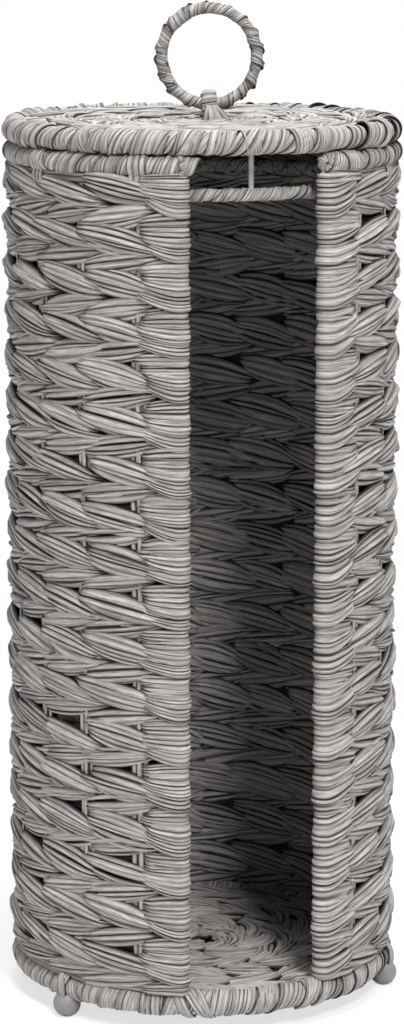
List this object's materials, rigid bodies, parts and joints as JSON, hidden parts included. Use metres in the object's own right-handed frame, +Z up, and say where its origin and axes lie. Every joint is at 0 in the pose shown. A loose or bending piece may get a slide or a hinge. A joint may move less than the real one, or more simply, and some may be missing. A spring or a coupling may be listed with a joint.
{
  "type": "toilet roll storage holder",
  "caption": "Free-standing round woven canister for spare toilet rolls, with a full-height front slot, a lift-off lid with a ring handle, and ball feet.",
  "frame": {"origin": "on the floor under the middle of the canister", "axes": "+Z up, the front slot faces -Y"},
  "size_m": [0.1652, 0.1681, 0.4197],
  "materials": {
    "ribbon_weave": "matt grey pleated paper ribbon, woven",
    "ribbon_winding": "matt grey pleated paper ribbon, wound",
    "frame_wire": "satin grey paint",
    "foot_ball": "matt grey"
  },
  "bodies": {
    "basket": {"base_hoop": "frame_wire", "base_hub": "frame_wire", "base_spokes": "frame_wire", "top_hoop": "frame_wire", "slot_post_left": "frame_wire", "slot_post_right": "frame_wire", "foot_wires": "frame_wire", "stake_01": "frame_wire", "stake_02": "frame_wire", "stake_03": "frame_wire", "stake_04": "frame_wire", "stake_05": "frame_wire", "stake_06": "frame_wire", "stake_07": "frame_wire", "stake_08": "frame_wire", "stake_09": "frame_wire", "stake_10": "frame_wire", "stake_11": "frame_wire", "stake_12": "frame_wire", "stake_13": "frame_wire", "stake_14": "frame_wire", "stake_15": "frame_wire", "stake_16": "frame_wire", "stake_17": "frame_wire", "base_panel": "ribbon_weave", "wall_course_01": "ribbon_weave", "wall_course_02": "ribbon_weave", "wall_course_03": "ribbon_weave", "wall_course_04": "ribbon_weave", "wall_course_05": "ribbon_weave", "wall_course_06": "ribbon_weave", "wall_course_07": "ribbon_weave", "wall_course_08": "ribbon_weave", "wall_course_09": "ribbon_weave", "wall_course_10": "ribbon_weave", "wall_course_11": "ribbon_weave", "wall_course_12": "ribbon_weave", "wall_course_13": "ribbon_weave", "wall_course_14": "ribbon_weave", "wall_course_15": "ribbon_weave", "wall_course_16": "ribbon_weave", "wall_course_17": "ribbon_weave", "wall_course_18": "ribbon_weave", "base_binding": "ribbon_winding", "top_binding": "ribbon_winding", "foot_wraps": "ribbon_winding", "foot_left": "foot_ball", "foot_right": "foot_ball", "foot_rear": "foot_ball"},
    "lid": {"lid_hoop": "frame_wire", "lid_binding": "ribbon_winding", "lid_hub": "frame_wire", "lid_spokes": "frame_wire", "lid_panel": "ribbon_weave", "plug_hoop": "frame_wire", "plug_binding": "ribbon_winding", "plug_hangers": "frame_wire", "handle_staple": "ribbon_winding"},
    "handle": {"handle_hoop": "frame_wire", "handle_binding": "ribbon_winding"}
  },
  "joints": [
    {"name": "lid_lift", "type": "slide", "parent": "basket", "child": "lid", "axis": [0, 0, 1], "range_m": [0, 0.15]},
    {"name": "handle_swing", "type": "hinge", "parent": "lid", "child": "handle", "pos_m": [0.00288, -0.00084, 0.37747], "axis": [0.9603, -0.279, 0], "range_deg": [-80, 80]}
  ]
}
